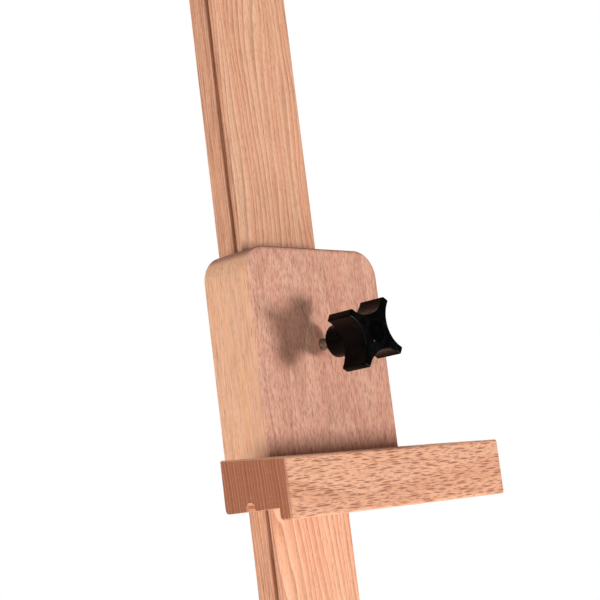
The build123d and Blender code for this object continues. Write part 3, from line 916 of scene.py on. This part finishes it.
def stand_in(piece: bpy.types.Object, name: str,
             finish: bpy.types.Material) -> None:
    """Show a modelled piece in place of a CAD node, on that node's body.

    Args:
        piece: The modelled piece, already in place.
        name: The CAD node.
        finish: The piece's material.
    """
    dress(piece, finish)
    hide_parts(name)
    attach(piece, body_of(node(name))[0])
    LOG.info("piece %s: %d faces", piece.name, len(piece.data.polygons))


@dataclass
class ThreadedStud:
    """Stud with a true helical thread, modelled once and cut to length for each knob."""

    finish: bpy.types.Material
    pitch: float = 1.0 * MM
    crest_radius: float = 3.0 * MM
    root_radius: float = 2.42 * MM
    crest_width: float = 0.22 * MM
    root_width: float = 0.14 * MM
    steps: int = 28
    lead_turns: int = 2
    spare_turns: int = 4
    merge_share: int = 200
    smooth_angle: float = 25.0

    def master(self, length: float) -> bpy.types.Object:
        """Model the thread around Z, longer than the longest stud.

        Args:
            length: Length to cover.

        Returns:
            The open helical shell, which starts below zero.
        """
        bpy.ops.object.select_all(action="DESELECT")
        bpy.ops.mesh.primitive_plane_add(size=2 * self.crest_radius,
                                         location=(0, 0, -self.lead_turns * self.pitch))
        made = bpy.context.object
        make_active(made)
        bpy.ops.object.transform_apply(location=True, rotation=True, scale=True)
        bpy.ops.object.mode_set(mode="EDIT")
        bpy.ops.mesh.select_all(action="SELECT")
        bpy.ops.mesh.merge(type="CENTER")
        bpy.ops.transform.translate(value=(self.crest_radius, 0, 0))
        drop = self.crest_radius - self.root_radius
        flank = (self.pitch - self.crest_width - self.root_width) / 2
        half = self.crest_width / 2
        for x, z in ((0, half), (-drop, flank), (0, self.root_width), (drop, flank), (0, half)):
            bpy.ops.mesh.extrude_region_move(TRANSFORM_OT_translate={"value": (x, 0, z)})
        bpy.ops.object.mode_set(mode="OBJECT")
        turn = made.modifiers.new("thread", "SCREW")
        turn.axis = "Z"
        turn.steps = self.steps
        turn.render_steps = self.steps
        turn.screw_offset = self.pitch
        turn.iterations = math.ceil(length / self.pitch) + self.spare_turns
        bpy.ops.object.modifier_apply(modifier=turn.name)
        bpy.ops.object.mode_set(mode="EDIT")
        bpy.ops.mesh.select_all(action="SELECT")
        bpy.ops.mesh.remove_doubles(threshold=self.pitch / self.merge_share)
        bpy.ops.object.mode_set(mode="OBJECT")
        return made

    def cut(self, shell: bpy.types.Object, length: float) -> None:
        """Cut the shell flat at zero and at its length, and close both ends.

        Args:
            shell: A copy of the master, which becomes the stud.
            length: The stud's length.
        """
        make_active(shell)
        bpy.ops.object.mode_set(mode="EDIT")
        for level, way in ((0.0, -1.0), (length, 1.0)):
            bpy.ops.mesh.select_all(action="SELECT")
            bpy.ops.mesh.bisect(plane_co=(0, 0, level), plane_no=(0, 0, way),
                                use_fill=True, clear_outer=True)
        bpy.ops.mesh.select_all(action="SELECT")
        bpy.ops.mesh.normals_make_consistent(inside=False)
        bpy.ops.object.mode_set(mode="OBJECT")
        bpy.ops.object.shade_smooth_by_angle(angle=math.radians(self.smooth_angle))

    def build(self, prefixes: tuple[str, ...]) -> None:
        """Model the studs of the named knobs.

        Args:
            prefixes: Start of each knob's node and joint names.
        """
        reaches = {}
        for prefix in prefixes:
            turning = joint(prefix + "_knob_turn")
            axis = Vector(turning["axis"]).normalized()
            centre = Vector(turning["pos_m"])
            along = [(vertex.co - centre).dot(axis)
                     for vertex in node(prefix + "_knob_stud").data.vertices]
            reaches[prefix] = (centre, axis, min(along), max(along))
        longest = max(high - low for _, _, low, high in reaches.values())
        master = self.master(longest)
        for prefix, (centre, axis, low, high) in reaches.items():
            make_active(master)
            bpy.ops.object.duplicate(linked=False)
            made = bpy.context.object
            made.name = prefix + "_threaded_stud"
            self.cut(made, high - low)
            made.location = centre + axis * low
            made.rotation_euler = axis.to_track_quat("Z", "Y").to_euler()
            bpy.ops.object.transform_apply(location=True, rotation=True, scale=True)
            stand_in(made, prefix + "_knob_stud", self.finish)
        bpy.data.objects.remove(master)


@dataclass
class RubberFoot:
    """Ribbed rubber foot, modelled once as a block and sized to each leg's sole."""

    finish: bpy.types.Material
    corner: float = 4.0 * MM
    corner_cuts: int = 6
    rib_levels: tuple[float, ...] = (0.24, 0.38, 0.52, 0.66)
    rib_depth: float = 0.7 * MM
    rim: float = 3.5 * MM
    hollow: float = 1.2 * MM
    edge: float = 0.35 * MM
    edge_cuts: int = 2
    edge_angle: float = 40.0
    smooth_angle: float = 35.0

    def block(self, name: str, low: Vector, high: Vector) -> bpy.types.Object:
        """Model a block with round upright corners.

        Args:
            name: The CAD node that the block stands in for.
            low: Lowest corner.
            high: Highest corner.

        Returns:
            The block, left in edit mode.
        """
        bpy.ops.object.select_all(action="DESELECT")
        bpy.ops.mesh.primitive_cube_add(size=1, location=(low + high) / 2, scale=high - low)
        made = bpy.context.object
        made.name = name + "_ribbed"
        make_active(made)
        bpy.ops.object.transform_apply(location=True, rotation=True, scale=True)
        bpy.ops.object.mode_set(mode="EDIT")
        bpy.ops.mesh.select_mode(type="EDGE")
        bpy.ops.mesh.select_all(action="DESELECT")
        bpy.ops.object.mode_set(mode="OBJECT")
        for line in made.data.edges:
            first, second = (made.data.vertices[i].co for i in line.vertices)
            line.select = abs(first.z - second.z) > (high.z - low.z) / 2
        bpy.ops.object.mode_set(mode="EDIT")
        bpy.ops.mesh.bevel(offset=self.corner, segments=self.corner_cuts, affect="EDGES")
        return made

    def cut_ribs(self, made: bpy.types.Object, low: Vector, high: Vector) -> None:
        """Sink a groove around the block between each two rib levels.

        Args:
            made: The block, in edit mode.
            low: Lowest corner.
            high: Highest corner.
        """
        levels = [low.z + (high.z - low.z) * part for part in self.rib_levels]
        for level in levels:
            bpy.ops.mesh.select_all(action="SELECT")
            bpy.ops.mesh.bisect(plane_co=(0, 0, level), plane_no=(0, 0, 1))
        for bottom, top in zip(levels[::2], levels[1::2]):
            select_faces(made, lambda face: abs(face.normal.z) < 0.5
                         and bottom < face.center.z < top)
            bpy.ops.mesh.extrude_region_shrink_fatten(
                TRANSFORM_OT_shrink_fatten={"value": -self.rib_depth})

    def hollow_ends(self, made: bpy.types.Object, low: Vector, high: Vector) -> None:
        """Sink the top and the sole inside a flat rim.

        Args:
            made: The block, in edit mode.
            low: Lowest corner.
            high: Highest corner.
        """
        for way in (1.0, -1.0):
            select_faces(made, lambda face: face.normal.z * way > 0.9
                         and abs(face.center.z - (high.z if way > 0 else low.z)) < self.edge)
            bpy.ops.mesh.inset(thickness=self.rim)
            bpy.ops.mesh.inset(thickness=self.edge)
            bpy.ops.transform.translate(value=(0, 0, -way * self.hollow))

    def build(self, name: str) -> None:
        """Model one foot inside the box of its CAD node.

        Args:
            name: The CAD node.
        """
        points = [vertex.co for vertex in node(name).data.vertices]
        low = Vector([min(point[i] for point in points) for i in range(3)])
        high = Vector([max(point[i] for point in points) for i in range(3)])
        made = self.block(name, low, high)
        self.cut_ribs(made, low, high)
        self.hollow_ends(made, low, high)
        bpy.ops.mesh.select_all(action="SELECT")
        bpy.ops.mesh.normals_make_consistent(inside=False)
        bpy.ops.object.mode_set(mode="OBJECT")
        soften = made.modifiers.new("edges", "BEVEL")
        soften.width = self.edge
        soften.segments = self.edge_cuts
        soften.limit_method = "ANGLE"
        soften.angle_limit = math.radians(self.edge_angle)
        bpy.ops.object.modifier_apply(modifier=soften.name)
        bpy.ops.object.shade_smooth_by_angle(angle=math.radians(self.smooth_angle))
        stand_in(made, name, self.finish)


# --- Studio ------------------------------------------------------------------------------


@dataclass(frozen=True)
class Lamp:
    """Square area light that points at the canvas holder, placed as seen from there."""

    toward: tuple[float, float, float]
    distance: float
    size: float
    power: float

    def hang(self, name: str) -> None:
        """Add the light to the scene.

        Args:
            name: The light's name.
        """
        data = bpy.data.lights.new(name, "AREA")
        data.shape = "SQUARE"
        data.size = self.size
        data.energy = self.power
        made = bpy.data.objects.new(name, data)
        bpy.context.scene.collection.objects.link(made)
        target = Vector(joint("holder_knob_turn")["pos_m"])
        way = Vector(self.toward).normalized()
        made.location = target + way * self.distance
        made.rotation_euler = way.to_track_quat("Z", "Y").to_euler()


KEY_LAMP = Lamp((0.54, -0.84, -0.06), distance=2.6, size=0.55, power=49)
FILL_LAMP = Lamp((-0.93, -0.33, -0.10), distance=2.8, size=1.5, power=65)
TOP_LAMP = Lamp((0.1, 0.5, 1.0), distance=2.4, size=1.2, power=30)
BACK_LAMP = Lamp((0.6, 1.0, 0.1), distance=3.0, size=1.6, power=60)
WARM_WHITE = (1.0, 0.99, 0.98, 1)


@dataclass
class Studio:
    """Camera, floor and soft lights."""

    camera_from_knob: Vector = field(default_factory=lambda: Vector((-0.5684, -0.5558, 0.0063)))
    azimuth: float = 44.74
    elevation: float = 1.27
    lens: float = 88.34
    sensor: float = 36.0
    nearest: float = 0.05
    floor_radius: float = 2.3
    floor_corners: int = 96
    floor_colour: Colour = (0.86, 0.86, 0.85, 1)
    floor_rough: float = 0.9
    floor_glow: float = 0.5
    ambient: float = 0.06

    def camera(self) -> None:
        """Place the camera to the left in front of the canvas holder."""
        data = bpy.data.cameras.new("camera")
        data.lens = self.lens
        data.sensor_width = self.sensor
        data.clip_start = self.nearest
        made = bpy.data.objects.new("camera", data)
        bpy.context.scene.collection.objects.link(made)
        knob = Vector(joint("holder_knob_turn")["pos_m"])
        made.location = knob + self.camera_from_knob
        turn, tilt = math.radians(self.azimuth), math.radians(self.elevation)
        look = Vector((math.sin(turn) * math.cos(tilt), math.cos(turn) * math.cos(tilt),
                       math.sin(tilt)))
        made.rotation_euler = look.to_track_quat("-Z", "Y").to_euler()
        bpy.context.scene.camera = made

    def floor(self) -> None:
        """Lay a pale round floor under the easel."""
        bpy.ops.mesh.primitive_circle_add(vertices=self.floor_corners,
                                          radius=self.floor_radius,
                                          fill_type="NGON", location=(0, 0, 0))
        made = bpy.context.object
        made.name = "floor"
        finish = bpy.data.materials.new("pale_floor")
        finish.use_nodes = True
        shader = finish.node_tree.nodes["Principled BSDF"]
        shader.inputs["Base Color"].default_value = self.floor_colour
        shader.inputs["Roughness"].default_value = self.floor_rough
        shader.inputs["Emission Color"].default_value = WARM_WHITE
        shader.inputs["Emission Strength"].default_value = self.floor_glow
        made.data.materials.append(finish)

    def lights(self) -> None:
        """Hang the key on the right, a fill on the left, two behind and a pale surround."""
        KEY_LAMP.hang("key")
        FILL_LAMP.hang("fill")
        TOP_LAMP.hang("top")
        BACK_LAMP.hang("back")
        world = bpy.data.worlds.new("surround")
        world.use_nodes = True
        sheet = Sheet(world.node_tree)
        ambient = world.node_tree.nodes["Background"]
        ambient.inputs["Strength"].default_value = self.ambient
        seen = sheet.add("ShaderNodeBackground")
        seen.inputs["Color"].default_value = (1, 1, 1, 1)
        seen.inputs["Strength"].default_value = 1.0
        ambient.inputs["Color"].default_value = WARM_WHITE
        path = sheet.add("ShaderNodeLightPath")
        mixed = sheet.add("ShaderNodeMixShader")
        sheet.put(path.outputs["Is Camera Ray"], mixed.inputs[0])
        sheet.put(ambient.outputs[0], mixed.inputs[1])
        sheet.put(seen.outputs[0], mixed.inputs[2])
        end = world.node_tree.nodes["World Output"]
        sheet.put(mixed.outputs[0], end.inputs["Surface"])
        bpy.context.scene.world = world

    def build(self) -> None:
        """Set up the camera, floor and lights."""
        self.camera()
        self.floor()
        self.lights()
        bpy.context.scene.view_settings.view_transform = "Standard"
        LOG.info("studio ready")


def dress_fittings(mottle: bpy.types.NodeTree) -> dict[Slot, bpy.types.Material]:
    """Dress every CAD node of metal, plastic and rubber.

    Args:
        mottle: The shared mottling group.

    Returns:
        The material of each slot.
    """
    finishes = {Slot.PLASTIC: BLACK_PLASTIC.material("knob_black", mottle),
                Slot.BRASS: BRASS.material("stud_brass", mottle),
                Slot.STEEL: ZINC.material("fitting_zinc", mottle),
                Slot.RUBBER: RUBBER.material("foot_rubber", mottle)}
    cap = CAP_PLASTIC.material("cap_black", mottle)
    slots = {part["node"]: part["material_slot"] for part in frame["record"]["subparts"]}
    for name, made in frame["nodes"].items():
        for slot, finish in finishes.items():
            if slots.get(name) == slot.value:
                dress(made, cap if name.endswith("_cap") else finish)
    return finishes


def main() -> None:
    """Build the looks in order."""
    logging.basicConfig(level=logging.INFO, format="%(name)s: %(message)s")
    bpy.ops.object.select_all(action="DESELECT")
    Studio().build()
    # The timber includes painted shade in the mast's edge grooves.
    Timber(BeechFigure().tree(), painted_groove_shade_group()).dress_all()
    finishes = dress_fittings(speckle_group())
    ThreadedStud(finishes[Slot.BRASS]).build(("holder", "tray", "mast", "rear_leg"))
    foot = RubberFoot(finishes[Slot.RUBBER])
    for name in ("front_foot_left", "front_foot_right", "rear_foot"):
        foot.build(name)


if __name__ == "__main__":
    main()
